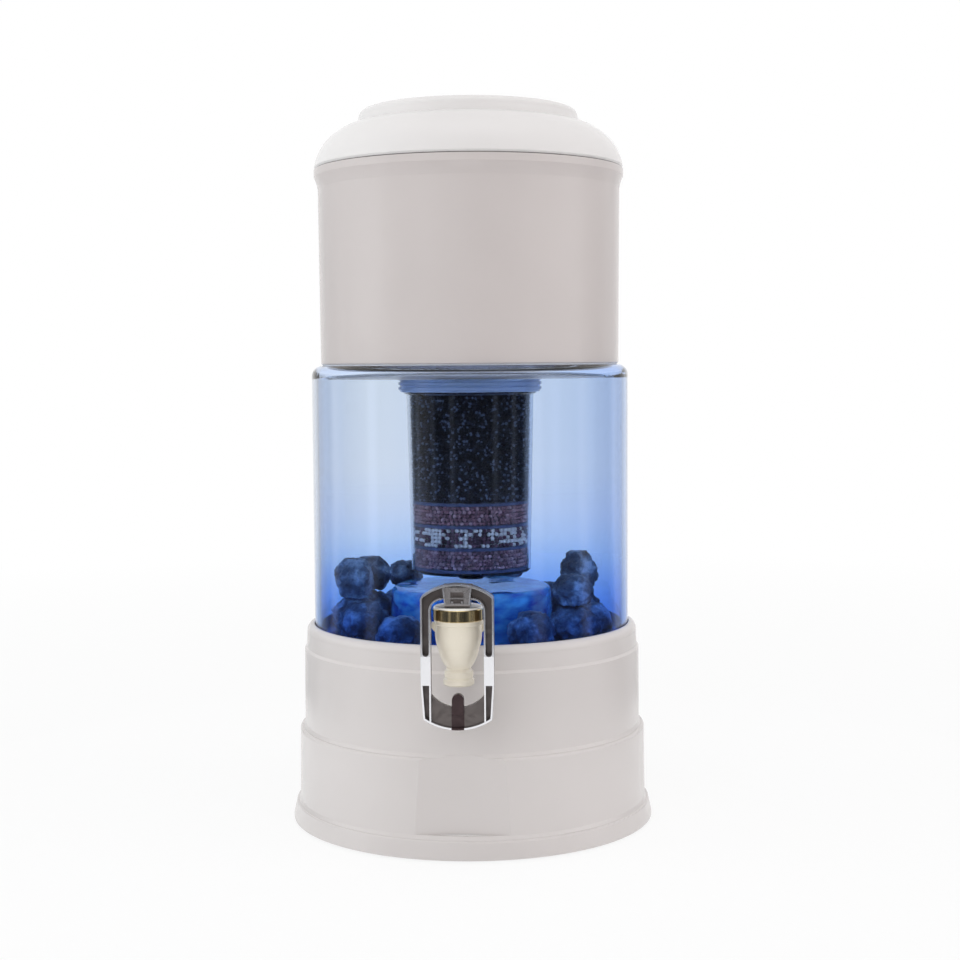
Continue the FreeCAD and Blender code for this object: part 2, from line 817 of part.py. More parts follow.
def make_tap_body():
    """Chamber, spout, side branch, flange and shank in one moulding."""
    ear = make_ear()
    body = at_spout(revolved(chamber_outline())).fuse(
        [
            rod_y(branch_radius, spout_y, flange_back, shank_z),
            rod_y(tap_flange_radius, flange_back - tap_flange_thickness, flange_back, shank_z),
            rod_y(shank_radius, flange_back, shank_back, shank_z),
            ear,
            ear.mirror(FreeCAD.Vector(0, 0, 0), FreeCAD.Vector(1, 0, 0)),
        ]
    )
    bore = [(0, spout_foot - over), (spout_bore, spout_foot - over), (spout_bore, seat_foot)]
    bore += [(chamber_bore, seat_foot + seat_rise), (chamber_bore, chamber_top + over)]
    bore = at_spout(revolved(bore + [(0, chamber_top + over)]))
    inlet = rod_y(shank_bore, spout_y, shank_back + over, shank_z)
    return body.cut([bore, inlet]).removeSplitter()


def make_outer_gasket():
    """Rubber between the flange and the round glass."""
    disc = rod_y(gasket_radius, flange_back, -glass_inner, shank_z)
    glass = rod(glass_radius, shank_z - 2 * gasket_radius, shank_z + 2 * gasket_radius)
    return disc.cut([glass, rod_y(shank_radius + slip, flange_back - over, 0, shank_z)])


def make_inner_gasket():
    """Rubber between the glass and the nut."""
    disc = rod_y(gasket_radius, -glass_radius, nut_front, shank_z)
    inside = rod(glass_inner, shank_z - 2 * gasket_radius, shank_z + 2 * gasket_radius)
    return disc.common(inside).cut(rod_y(shank_radius + slip, -glass_radius - over, 0, shank_z))


def make_tap_nut():
    """The hexagon nut on the shank inside the glass."""
    reach = nut_width / math.sqrt(3)
    turns = [math.radians(60 * i) for i in range(7)]
    corners = [FreeCAD.Vector(reach * math.sin(t), nut_front, shank_z + reach * math.cos(t)) for t in turns]
    nut = Part.Face(Part.makePolygon(corners)).extrude(FreeCAD.Vector(0, nut_thickness, 0))
    return nut.cut(rod_y(shank_radius + running, nut_front - over, shank_back, shank_z))


def make_gold_ring():
    """The trim ring under the bonnet's rim."""
    inner = bonnet_radius + running
    edge = gold_radius - gold_bevel
    path = [(inner, chamber_top), (edge, chamber_top), (gold_radius, chamber_top + gold_bevel)]
    path += [(gold_radius, gold_top - gold_bevel), (edge, gold_top), (inner, gold_top)]
    return at_spout(revolved(path))


def make_bonnet():
    """The cap with the stem's guide."""
    plug_foot = chamber_top - bonnet_plug_depth
    plug = chamber_bore - loose
    hole = stem_radius + running
    path = [(hole, plug_foot - guide_depth), (guide_radius, plug_foot - guide_depth)]
    path += [(guide_radius, plug_foot), (plug, plug_foot), (plug, chamber_top)]
    path += [(bonnet_radius, chamber_top), (bonnet_radius, gold_top), (bonnet_top_radius, gold_top)]
    path += [(bonnet_top_radius, bonnet_top - bonnet_edge), (bonnet_top_radius - bonnet_edge, bonnet_top)]
    return at_spout(revolved(path + [(hole, bonnet_top)]))


# Valve


def cross_rod(radius, half_length):
    """A rod along X through the pin's place."""
    start = FreeCAD.Vector(-half_length, spout_y, pin_z)
    return Part.makeCylinder(radius, 2 * half_length, start, FreeCAD.Vector(1, 0, 0))


def make_stem():
    """The stem with its collar, cross-drilled for the pin."""
    collar = plug_top + stem_collar_thickness
    top = pin_z + stem_above_pin
    path = [(0, plug_top - plug_height + plug_tip), (stem_radius, plug_top - plug_height + plug_tip)]
    path += [(stem_radius, plug_top), (stem_collar_radius, plug_top), (stem_collar_radius, collar)]
    path += [(stem_radius, collar), (stem_radius, top), (0, top)]
    return at_spout(revolved(path)).cut(cross_rod(pin_radius + running, hub_top_half))


def plug_radius_at(z):
    """The valve seal's radius at a height, slip away from the seat."""
    slope = (chamber_bore - spout_bore) / seat_rise
    return spout_bore + (z - seat_foot) * slope - slip * math.hypot(slope, 1)


def make_valve_seal():
    """The soft cone that closes the seat."""
    foot = plug_top - plug_height
    knee = foot + plug_knee
    shoulder = plug_top - plug_rim
    hole = stem_radius + running
    widest = plug_radius_at(shoulder)
    path = [(0, foot), (plug_tip_radius, foot), (plug_radius_at(knee), knee), (widest, shoulder)]
    path += [(widest, plug_top), (hole, plug_top), (hole, foot + plug_tip), (0, foot + plug_tip)]
    return at_spout(revolved(path))


def arc_between(start, reach, end):
    """The arc from start to end whose two tangents meet at reach."""
    chord = (start + end) * 0.5
    half = (end - start).Length / 2
    side = (reach - start).Length
    angle = math.acos(min(1.0, half / side))
    middle = chord + (reach - chord) * (math.tan(angle / 2) / math.tan(angle))
    return Part.Arc(start, middle, end).toShape()


def biarc(start, start_way, end, end_way):
    """Two arcs that join two places and leave and arrive along the given directions."""
    across = end - start
    both = start_way + end_way
    p = 2 * (1 - start_way.dot(end_way))
    q = 2 * across.dot(both)
    reach = (math.sqrt(q * q + 4 * p * across.dot(across)) - q) / (2 * p)
    near = start + start_way * reach
    far = end - end_way * reach
    joint = (near + far) * 0.5
    return [arc_between(start, near, joint), arc_between(joint, far, end)]


def make_spring():
    """The return spring, wound on pairs of arcs of half a turn."""
    low = plug_top + stem_collar_thickness + spring_wire / 2
    high = chamber_top - bonnet_plug_depth - spring_wire / 2
    rise = (high - low) / (2 * math.pi * spring_turns)

    def place(turn):
        x = spring_radius * math.cos(turn)
        y = spring_radius * math.sin(turn)
        return FreeCAD.Vector(x, y, low + rise * turn)

    def heading(turn):
        x = -spring_radius * math.sin(turn)
        y = spring_radius * math.cos(turn)
        return FreeCAD.Vector(x, y, rise).normalize()

    edges = []
    turns = [math.pi / 2 * i for i in range(4 * spring_turns + 1)]
    for t, u in zip(turns, turns[1:]):
        edges += biarc(place(t), heading(t), place(u), heading(u))
    section = Part.Wire(Part.makeCircle(spring_wire / 2, place(0), heading(0)))
    print("spring gap to itself", round(2 * math.pi * rise - spring_wire, 2))
    return at_spout(Part.Wire(edges).makePipeShell([section], True, False))


# Lever


def bow_depth(half, rise, inset):
    """How far an arch's ends lie below its crown when its line is moved in by inset."""
    radius = (half * half + rise * rise) / (2 * rise)
    return radius - math.sqrt((radius - inset) ** 2 - (half - inset) ** 2)


def lever_outline(inset):
    """The lever from the front, moved in by inset."""
    half = lever_half - inset
    foot_half = lever_foot_half - inset
    knee = lever_foot + knee_height
    corner = lever_top - bow_depth(lever_half, arch_rise, inset)
    heel = lever_foot + bow_depth(lever_foot_half, foot_rise, inset)
    arch = ((0, lever_top - inset), (half, corner))
    sole = ((0, lever_foot + inset), (-foot_half, heel))
    left = [(-foot_half, heel), (-half, knee), (-half, corner)]
    return left + [arch, (half, knee), (foot_half, heel), sole]


def window_outline(outset):
    """The lever's opening from the front, moved out by outset."""
    half = window_half + outset
    top = lever_top - top_width + outset
    corner = window_round + outset
    foot = lever_foot + window_foot
    left = (-half, top - corner)
    right = (half, top - corner)
    reach = corner * math.sqrt(0.5)
    left_bend = ((corner - half - reach, top - corner + reach), (corner - half, top))
    right_bend = ((half - corner + reach, top - corner + reach), right)
    sole = ((0, foot - window_sag - outset), (-half, foot))
    return [(-half, foot), left, left_bend, (half - corner, top), right_bend, (half, foot), sole]


def stem_room():
    """The slot in the hub that the stem's head turns in."""
    half = stem_radius + slot_side
    front = spout_y - stem_radius - slot_front
    back = spout_y + cam_back + over
    return block((-half, half), (front, back), (pin_z - cam_height - over, pin_z + slot_top))


def make_hub():
    """The cam block that presses on the bonnet."""
    low = pin_z - cam_height
    high = lever_top - 2 * lever_rim
    back = spout_y + cam_back
    sides = [(-hub_foot_half, low), (-hub_top_half, high), (hub_top_half, high), (hub_foot_half, low)]
    nose = (hub_front, low + cam_round)
    toe = (hub_front + cam_round, low)
    reach = cam_round * (1 - math.sqrt(0.5))
    profile = [(back, low), (back, high), (hub_front, high), nose, ((nose[0] + reach, low + reach), toe)]
    cam = moved(outline(profile, "yz"), x=-hub_top_half).extrude(FreeCAD.Vector(2 * hub_top_half, 0, 0))
    hub = plate(sides, hub_front - over, back + over).common(cam)
    floor = hub_front + hub_pocket_depth
    foot = low + hub_pocket_foot
    top = foot + hub_pocket_height
    pocket = block((-hub_pocket_half, hub_pocket_half), (hub_front - over, floor), (foot, top))
    centre = (foot + top) / 2 + hub_inset_lift
    inset_z = (centre - hub_inset_height / 2, centre + hub_inset_height / 2)
    inset = block((-hub_inset_half, hub_inset_half), (hub_front, floor + hub_inset_depth), inset_z)
    dot = rod_y(dot_radius, hub_front - dot_proud, floor + hub_inset_depth, foot + dot_radius)
    dots = [moved(dot, x=side * dot_spacing / 2) for side in (-1, 1)]
    rib_low = low + cam_round
    share = cam_round / (high - low)
    rib_half = hub_foot_half + share * (hub_top_half - hub_foot_half)
    outer_side = [(rib_half, rib_low), (hub_top_half, high)]
    inner_side = [(hub_top_half - hub_rib, high), (rib_half - hub_rib, rib_low)]
    rib = plate(outer_side + inner_side, hub_front - hub_rib_proud, hub_front + hub_pocket_depth)
    ribs = [rib, rib.mirror(FreeCAD.Vector(0, 0, 0), FreeCAD.Vector(1, 0, 0))]
    return hub.cut([pocket, inset]).fuse(dots + ribs)


def across(profile):
    """A profile in yz, extruded over more than the lever's width."""
    reach = 2 * lever_half
    return moved(outline(profile, "yz"), x=-reach).extrude(FreeCAD.Vector(2 * reach, 0, 0))


def make_groove(deep):
    """The channel in the front of the rails, with a plain stretch between round ends."""
    channel = plate(lever_outline(lever_rim), lever_front - over, lever_back - lever_web)
    channel = channel.cut(plate(window_outline(inner_rim), *deep))
    reach = 2 * lever_half
    half = window_half + inner_rim
    end_radius = (lever_half - lever_rim - half) / 2
    end_z = groove_end + end_radius
    plain = block((-reach, reach), deep, (plain_end, end_z))
    pad_part = block((-half, half), deep, (lever_foot - over, plain_end))
    end = moved(rod_y(end_radius, lever_front - over, lever_back - lever_web, end_z), x=half + end_radius)
    ends = [end, end.mirror(FreeCAD.Vector(0, 0, 0), FreeCAD.Vector(1, 0, 0))]
    arch_foot = lever_top - top_width - over
    behind_hub = block((-hub_top_half, hub_top_half), deep, (arch_foot, lever_top - lever_rim))
    behind_hub = behind_hub.common(plate(lever_outline(lever_rim), lever_front - over, hub_front))
    return channel.cut([plain, pad_part]).fuse(ends + [behind_hub])


def make_frame():
    """The frame round the spout: channelled rails and the recessed pad."""
    deep = (lever_front - 2 * over, lever_back + over)
    frame = plate(lever_outline(0), lever_front, lever_back)
    frame = frame.makeFillet(lever_corner, [e for e in frame.Edges if is_top_corner(e)])
    pad = plate(lever_outline(lever_rim), lever_front - over, pad_front())
    pad = pad.common(block((-window_half, window_half), deep, (lever_foot - over, plain_end)))
    low = lever_foot - over
    ahead = lever_front - over
    heel = (lever_front + foot_set_back, low)
    slope = across([(ahead, low), (ahead, groove_end), (lever_front, groove_end), heel])
    return frame.cut([plate(window_outline(0), *deep), make_groove(deep), pad, slope])


def pad_front():
    """The front of the pad at the lever's foot."""
    return lever_front + foot_set_back + pad_recess


def make_tab():
    """The rounded tab that stands on the pad under the spout."""
    foot = lever_foot + tab_foot
    top = lever_foot + window_foot - window_sag + tab_rise
    side = top - tab_half
    path = [(-tab_half, foot), (-tab_half, side), ((0, top), (tab_half, side)), (tab_half, foot)]
    return plate(path, pad_front() - tab_proud, lever_back - tab_back)


def make_lever():
    """Frame, hub and tab in one piece, slotted for the stem and drilled for the pin."""
    lever = make_frame().fuse([make_hub(), make_tab()])
    hole = cross_rod(pin_radius + running, hub_top_half + over)
    return lever.cut([stem_room(), hole]).removeSplitter()


def is_top_corner(edge):
    """True for the two edges along Y where the arch meets the sides."""
    a, b = edge.Vertexes[0].Point, edge.Vertexes[-1].Point
    along = abs(b.y - a.y) > lever_depth / 2
    return along and abs(abs(a.x) - lever_half) < loose and abs(a.z - (lever_top - arch_rise)) < loose


def make_parts():
    """Every node by name, each a solid or a list of solids."""
    parts = {
        "stand": make_stand(),
        "feet": make_feet(),
        "seat_cushion": make_cushion(),
        "glass_tank": make_glass(),
        "mineral_stones": make_stones(),
        "tank_gasket": make_tank_gasket(),
        "upper_tank": make_upper_tank(),
        "lid": make_lid(),
        "filter_base": make_filter_base(),
        "filter_dome": make_sponge(),
        "filter_washer": make_washer(tank_inside, washer_thickness),
        "cartridge_seal": make_washer(cap_top, seal_ring_thickness),
        "cartridge_cap": make_cap(),
        "cartridge_jar": make_jar(),
        "outlet_nozzle": make_nozzle(),
        "tap_body": make_tap_body(),
        "outer_gasket": make_outer_gasket(),
        "inner_gasket": make_inner_gasket(),
        "tap_nut": make_tap_nut(),
        "gold_ring": make_gold_ring(),
        "bonnet": make_bonnet(),
        "valve_stem": make_stem(),
        "valve_seal": make_valve_seal(),
        "return_spring": make_spring(),
        "lever_pin": cross_rod(pin_radius, hub_foot_half),
        "lever": make_lever(),
    }
    parts.update(make_cartridge_fill())
    return parts


os.makedirs("parts", exist_ok=True)
for name, solids in make_parts().items():
    shape = Part.makeCompound(solids) if isinstance(solids, list) else solids
    if len(shape.Solids) == 1:
        shape = shape.Solids[0]
    shape.exportStep(f"parts/{name}.step")
    print(name, len(shape.Solids), shape.isValid(), round(shape.Volume / 1000, 2), "cm3")
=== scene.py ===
import math

import bmesh
import bpy
from mathutils import Matrix, Vector, noise
from mathutils.bvhtree import BVHTree


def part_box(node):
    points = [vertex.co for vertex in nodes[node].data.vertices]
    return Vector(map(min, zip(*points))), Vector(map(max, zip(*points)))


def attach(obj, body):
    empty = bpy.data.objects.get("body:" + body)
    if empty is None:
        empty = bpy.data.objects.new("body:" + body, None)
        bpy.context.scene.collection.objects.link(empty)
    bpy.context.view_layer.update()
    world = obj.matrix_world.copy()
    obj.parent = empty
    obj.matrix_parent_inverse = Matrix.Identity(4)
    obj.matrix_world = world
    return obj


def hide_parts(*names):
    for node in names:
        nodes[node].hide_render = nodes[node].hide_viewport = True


# Gravity water filter: looks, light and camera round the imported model.
# Metres, +Z up, the tap towards -Y.

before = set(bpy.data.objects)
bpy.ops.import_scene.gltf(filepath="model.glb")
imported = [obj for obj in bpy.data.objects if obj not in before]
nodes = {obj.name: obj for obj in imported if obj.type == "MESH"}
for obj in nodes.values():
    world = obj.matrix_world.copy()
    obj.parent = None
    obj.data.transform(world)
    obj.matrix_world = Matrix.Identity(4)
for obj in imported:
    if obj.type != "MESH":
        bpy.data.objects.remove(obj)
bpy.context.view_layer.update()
print("frame loaded:", len(nodes), "nodes")


# small helpers for the node trees

noiseSpan = (0.3, 0.7)  # nearly all of a noise's values lie between these


def addNode(tree, kind, inputs=None, **settings):
    made = tree.nodes.new(kind)
    for key, value in settings.items():
        setattr(made, key, value)
    for key, value in (inputs or {}).items():
        if isinstance(value, bpy.types.NodeSocket):
            tree.links.new(value, made.inputs[key])
        else:
            made.inputs[key].default_value = value
    return made


def newMaterial(name, **sockets):
    material = bpy.data.materials.new(name)
    material.use_nodes = True
    tree = material.node_tree
    shader = tree.nodes["Principled BSDF"]
    for key, value in sockets.items():
        shader.inputs[key.replace("_", " ")].default_value = value
    return material, tree, shader


def wire(tree, shader, **sockets):
    for key, value in sockets.items():
        tree.links.new(value, shader.inputs[key.replace("_", " ")])


def objectPlace(tree):
    return addNode(tree, "ShaderNodeTexCoord").outputs["Object"]


def parted(tree, place):
    return addNode(tree, "ShaderNodeSeparateXYZ", {0: place}).outputs


def pointAt(tree, x=0.0, y=0.0, z=0.0):
    return addNode(tree, "ShaderNodeCombineXYZ", {"X": x, "Y": y, "Z": z}).outputs[0]


def stretched(tree, place, scale):
    return addNode(tree, "ShaderNodeMapping", {"Vector": place, "Scale": scale}).outputs[0]


def lengthOf(tree, place):
    return addNode(tree, "ShaderNodeVectorMath", {0: place}, operation="LENGTH").outputs["Value"]


def maths(tree, operation, first, second=0.0, clamp=False):
    made = addNode(tree, "ShaderNodeMath", {0: first, 1: second}, operation=operation, use_clamp=clamp)
    return made.outputs[0]


def grain(tree, place, scale, detail=3.0, rough=0.5):
    inputs = {"Vector": place, "Scale": scale, "Detail": detail, "Roughness": rough}
    return addNode(tree, "ShaderNodeTexNoise", inputs).outputs["Fac"]


def solid(colour):
    return (*colour, 1.0)


def shaded(colour, share):
    return tuple(c * share for c in colour)


def ramp(tree, value, stops, constant=False):
    made = addNode(tree, "ShaderNodeValToRGB", {"Fac": value})
    band = made.color_ramp
    band.interpolation = "CONSTANT" if constant else "LINEAR"
    while len(band.elements) < len(stops):
        band.elements.new(0.5)
    for element, (at, colour) in zip(band.elements, stops):
        element.position = at
        element.color = solid(colour)
    return made.outputs["Color"]


def mottled(tree, value, low, high):
    return ramp(tree, value, [(noiseSpan[0], low), (noiseSpan[1], high)])


def mixed(tree, share, first, second, way="MIX"):
    inputs = {"Factor": share, "A": first, "B": second}
    return addNode(tree, "ShaderNodeMix", inputs, data_type="RGBA", blend_type=way).outputs["Result"]


def rangeOf(tree, value, low, high, toLow=0.0, toHigh=1.0):
    inputs = {"Value": value, "From Min": low, "From Max": high, "To Min": toLow, "To Max": toHigh}
    return addNode(tree, "ShaderNodeMapRange", inputs, clamp=True).outputs["Result"]


def spreadOf(tree, value, low, high):
    return rangeOf(tree, value, *noiseSpan, low, high)


def bump(tree, shader, height, distance):
    made = addNode(tree, "ShaderNodeBump", {"Height": height, "Distance": distance, "Strength": 1.0})
    wire(tree, shader, Normal=made.outputs["Normal"])


# moulded plastics and rubber: vary is how far the tone varies, bump the height of the fine
# grain in millimetres, grain how fine it is

plastics = {
    "whitePlastic": {"colour": (0.62, 0.58, 0.57), "rough": 0.22, "vary": 0.03, "bump": 0.03, "grain": 900},
    # the tank's plastic is the white plastic painted darker, as painted shade, with a painted shadow line
    # under the lid's edge
    "tankPlasticPaintedShade": {"colour": (0.57, 0.52, 0.51), "rough": 0.22, "vary": 0.03, "bump": 0.03, "grain": 900,
                    "seam": (0.4471, 0.4475), "seamPaintedShadow": (0.09, 0.08, 0.08)},
    # the lid's plastic is the white plastic painted lighter, as painted light on its upward faces
    "lidPlasticPaintedLight": {"colour": (0.70, 0.675, 0.67), "rough": 0.20, "vary": 0.03, "bump": 0.03, "grain": 900},
    "creamPlastic": {"colour": (0.80, 0.735, 0.62), "rough": 0.24, "vary": 0.05, "bump": 0.02, "grain": 700},
    "bonnetPlastic": {"colour": (0.88, 0.86, 0.81), "rough": 0.22, "vary": 0.03, "bump": 0.02, "grain": 700},
    "blackPlastic": {"colour": (0.02, 0.02, 0.026), "rough": 0.42, "vary": 0.3, "bump": 0.04, "grain": 900},
    "paleRubber": {"colour": (0.66, 0.68, 0.72), "rough": 0.55, "vary": 0.06, "bump": 0.05, "grain": 1400},
    "darkRubber": {"colour": (0.03, 0.03, 0.032), "rough": 0.75, "vary": 0.3, "bump": 0.08, "grain": 1600},
    "ceramicSponge": {"colour": (0.80, 0.79, 0.75), "rough": 0.9, "vary": 0.1, "bump": 0.3, "grain": 1500},
    "screenPlastic": {"colour": (0.09, 0.12, 0.26), "rough": 0.3, "vary": 0.2, "bump": 0.04, "grain": 800},
    # painted shade: the dark core that fills the beds' depths
    "shadowCorePlastic": {"colour": (0.012, 0.010, 0.014), "rough": 0.7, "vary": 0.3, "bump": 0.05, "grain": 700},
}
moulding = {"index": 1.49, "clouds": 14, "polish": (-0.03, 0.04)}


def mouldedPlastic(name, look):
    material, tree, shader = newMaterial(name, IOR=moulding["index"])
    place = objectPlace(tree)
    low = shaded(look["colour"], 1 - look["vary"])
    tone = mottled(tree, grain(tree, place, moulding["clouds"], detail=2), low, look["colour"])
    if "seam" in look:  # a painted shadow: the dark line under the lid's edge
        inPaintedSeamShadow = rangeOf(tree, parted(tree, place)["Z"], *look["seam"])
        tone = mixed(tree, inPaintedSeamShadow, tone, solid(look["seamPaintedShadow"]))
    fine = grain(tree, place, look["grain"], detail=4, rough=0.6)
    rough = [look["rough"] + more for more in moulding["polish"]]
    wire(tree, shader, Base_Color=tone, Roughness=spreadOf(tree, fine, *rough))
    bump(tree, shader, fine, look["bump"] / 1000)
    return material


# metals: lie is how fine the brush marks are along X, Y and Z

metals = {
    "goldMetal": {"colour": (1.0, 0.80, 0.44), "shade": 0.48, "rough": 0.12, "streak": 0.10,
                  "lie": (640, 640, 6)},
    "steel": {"colour": (0.60, 0.60, 0.62), "shade": 0.86, "rough": 0.26, "streak": 0.14,
              "lie": (300, 300, 2600)},
}
brushMark = 0.00001  # depth


def brushedMetal(name, look):
    material, tree, shader = newMaterial(name, Metallic=1.0)
    lines = grain(tree, stretched(tree, objectPlace(tree), look["lie"]), 1.0)
    tone = mottled(tree, lines, shaded(look["colour"], look["shade"]), look["colour"])
    rough = spreadOf(tree, lines, look["rough"], look["rough"] + look["streak"])
    wire(tree, shader, Base_Color=tone, Roughness=rough)
    bump(tree, shader, lines, brushMark)
    return material


# the lever's chrome: bright rims, duller sunk parts in painted shade and painted dark reflection, and the tab
# at its foot painted dark as a painted dark reflection

chrome = {
    "colour": (0.84, 0.84, 0.87),
    "rough": 0.10,
    "polish": 0.04,  # how far the roughness varies
    "rimMetal": 0.78,  # share of metal in the rims' shine
    "channel": (0.15, 0.13, 0.125),  # painted shade and painted dark reflection in the sunk parts
    "channelRough": 0.30,
    "channelMetal": 0.5,
    "floorDepth": 0.1566,  # -Y of the sunk faces, in front of which the rims stand
    "rimDepth": 0.1592,
    "paintedShadeSpan": (0.15, 0.8),  # share of that depth over which the painted shade sets in
    "shineSpan": (0.1, 0.8),
    # the tab's colour, a painted dark reflection
    "tab": (0.055, 0.034, 0.036),
    "tabHalf": 0.0039,
    "tabTop": 0.1185,
    "smears": 260,
    "waves": 150,
    "waveHeight": 0.0007,  # in the sunk parts alone
}


def chromePlate():
    material, tree, shader = newMaterial("chromePlate")
    place = objectPlace(tree)
    split = parted(tree, place)
    front = maths(tree, "MULTIPLY", split["Y"], -1.0)
    sunk = rangeOf(tree, front, chrome["floorDepth"], chrome["rimDepth"], 1.0, 0.0)
    # the tab at the lever's foot, painted dark as a painted reflection
    middle = maths(tree, "LESS_THAN", maths(tree, "ABSOLUTE", split["X"]), chrome["tabHalf"])
    onPaintedDarkTab = maths(tree, "MULTIPLY", middle, maths(tree, "LESS_THAN", split["Z"], chrome["tabTop"]))
    start, end = chrome["paintedShadeSpan"]
    plateAndPaintedShade = ramp(tree, sunk, [(start, chrome["colour"]), (end, chrome["channel"])])
    smears = spreadOf(tree, grain(tree, place, chrome["smears"], detail=2), 0.0, chrome["polish"])
    rough = rangeOf(tree, sunk, *chrome["shineSpan"], chrome["rough"], chrome["channelRough"])
    metal = rangeOf(tree, sunk, *chrome["shineSpan"], chrome["rimMetal"], chrome["channelMetal"])
    wire(tree, shader, Base_Color=mixed(tree, onPaintedDarkTab, plateAndPaintedShade, solid(chrome["tab"])),
         Roughness=maths(tree, "ADD", rough, smears), Metallic=metal)
    inChannel = maths(tree, "MULTIPLY", sunk, sunk)
    waves = maths(tree, "MULTIPLY", grain(tree, place, chrome["waves"], detail=1), inChannel)
    bump(tree, shader, waves, chrome["waveHeight"])
    return material


# the glass tank: its tint deepens towards the foot, and its raised floor is a cloudier blue

glassLook = {
    "index": 1.47,
    "foot": 0.121,
    "top": 0.3143,
    "wall": [(0.0, (0.20, 0.44, 1.0)), (0.14, (0.34, 0.56, 1.0)), (0.33, (0.65, 0.79, 1.0)),
             (0.44, (0.755, 0.845, 1.0)), (0.62, (0.825, 0.89, 0.985)), (0.955, (0.825, 0.89, 0.975)),
             (0.98, (0.62, 0.75, 0.98))],
    "edge": (0.80, 0.85, 0.97),  # the tint where the wall is seen edge on
    "edgeSpan": (0.25, 0.90),
    "hillSpan": (0.060, 0.064),  # radii over which the raised floor's tint gives way to the wall's
    "hill": [(0.36, (0.01, 0.11, 0.56)), (0.66, (0.18, 0.64, 1.0))],
    "hillBody": 0.45,  # how much of the raised floor's light is scattered in it
    "swirl": (60, 60, 150),
    "waves": 42,
    "ripple": 0.0010,
}


def blueGlass():
    material, tree, shader = newMaterial("blueGlass", Roughness=0.0, IOR=glassLook["index"])
    place = objectPlace(tree)
    level = rangeOf(tree, parted(tree, place)["Z"], glassLook["foot"], glassLook["top"])
    flat = addNode(tree, "ShaderNodeVectorMath", {0: place, 1: (1, 1, 0)}, operation="MULTIPLY").outputs[0]
    onHill = rangeOf(tree, lengthOf(tree, flat), *glassLook["hillSpan"], 1.0, 0.0)
    swirl = grain(tree, stretched(tree, place, glassLook["swirl"]), 1.0, detail=4)
    tint = mixed(tree, onHill, ramp(tree, level, glassLook["wall"]), ramp(tree, swirl, glassLook["hill"]))
    slant = addNode(tree, "ShaderNodeLayerWeight").outputs["Facing"]
    atEdge = rangeOf(tree, slant, *glassLook["edgeSpan"])
    wire(tree, shader, Base_Color=mixed(tree, atEdge, tint, solid(glassLook["edge"]), "MULTIPLY"),
         Transmission_Weight=rangeOf(tree, onHill, 0.0, 1.0, 1.0, 1 - glassLook["hillBody"]))
    waves = maths(tree, "MULTIPLY", grain(tree, place, glassLook["waves"], detail=2), onHill)
    bump(tree, shader, waves, glassLook["ripple"])
    return material


# the cartridge's clear plastics

clearLooks = {
    "clearCap": {"colour": (0.47, 0.64, 1.0), "rough": 0.16, "bump": 0.00008, "clear": 0.55},
    "clearJar": {"colour": (0.90, 0.93, 0.98), "rough": 0.015, "bump": 0.00002, "clear": 1.0},
}
clearMould = {"index": 1.49, "flow": 160, "vary": 0.04, "polish": 0.03}


def clearPlastic(name, look):
    material, tree, shader = newMaterial(name, IOR=clearMould["index"], Transmission_Weight=look["clear"])
    faint = grain(tree, objectPlace(tree), clearMould["flow"])
    tone = mottled(tree, faint, shaded(look["colour"], 1 - clearMould["vary"]), look["colour"])
    rough = spreadOf(tree, faint, look["rough"], look["rough"] + clearMould["polish"])
    wire(tree, shader, Base_Color=tone, Roughness=rough)
    bump(tree, shader, faint, look["bump"])
    return material


# the stones' rough skin

stoneLook = {
    "mottles": 60,
    "tones": [(0.34, (0.014, 0.024, 0.05)), (0.5, (0.055, 0.09, 0.16)), (0.66, (0.24, 0.36, 0.56))],
    "grit": 520,
    "rough": (0.38, 0.72),
    "cells": 130.0,
    "broadShare": 2.0,  # of the broad mottles in the relief, beside the grit and the cells
    "relief": 0.0016,
}


def stoneSkin():
    material, tree, shader = newMaterial("darkStone")
    place = objectPlace(tree)
    broad = grain(tree, place, stoneLook["mottles"], detail=5, rough=0.65)
    fine = grain(tree, place, stoneLook["grit"], detail=6, rough=0.7)
    cells = addNode(tree, "ShaderNodeTexVoronoi", {"Vector": place, "Scale": stoneLook["cells"]})
    wire(tree, shader, Base_Color=ramp(tree, broad, stoneLook["tones"]),
         Roughness=spreadOf(tree, fine, *stoneLook["rough"]))
    swells = maths(tree, "MULTIPLY", broad, stoneLook["broadShare"])
    pocks = maths(tree, "ADD", fine, cells.outputs["Distance"])
    bump(tree, shader, maths(tree, "ADD", swells, pocks), stoneLook["relief"])
    return material


# balls and grains: each one has its own tone, stored when it is placed

grainLooks = {
    "redBrownBalls": {"rough": 0.30, "tones": [(0.0, (0.28, 0.145, 0.19)), (0.45, (0.40, 0.225, 0.29)),
                                               (0.8, (0.56, 0.38, 0.48))]},
    "mixedBalls": {"rough": 0.26, "tones": [(0.0, (0.10, 0.045, 0.08)), (0.26, (0.18, 0.09, 0.14)),
                                            (0.46, (0.94, 0.96, 1.0))]},
    "carbonGrains": {"rough": 0.36, "tones": [(0.0, (0.012, 0.015, 0.024)), (0.6, (0.034, 0.045, 0.075)),
                                              (0.84, (0.17, 0.22, 0.35))]},
}
grainSkin = {
    "specks": 1800,
    "speckTones": ((0.5, 0.5, 0.5), (1.0, 1.0, 1.0)),
    "speckShare": 0.25,
    "polish": 0.12,
}


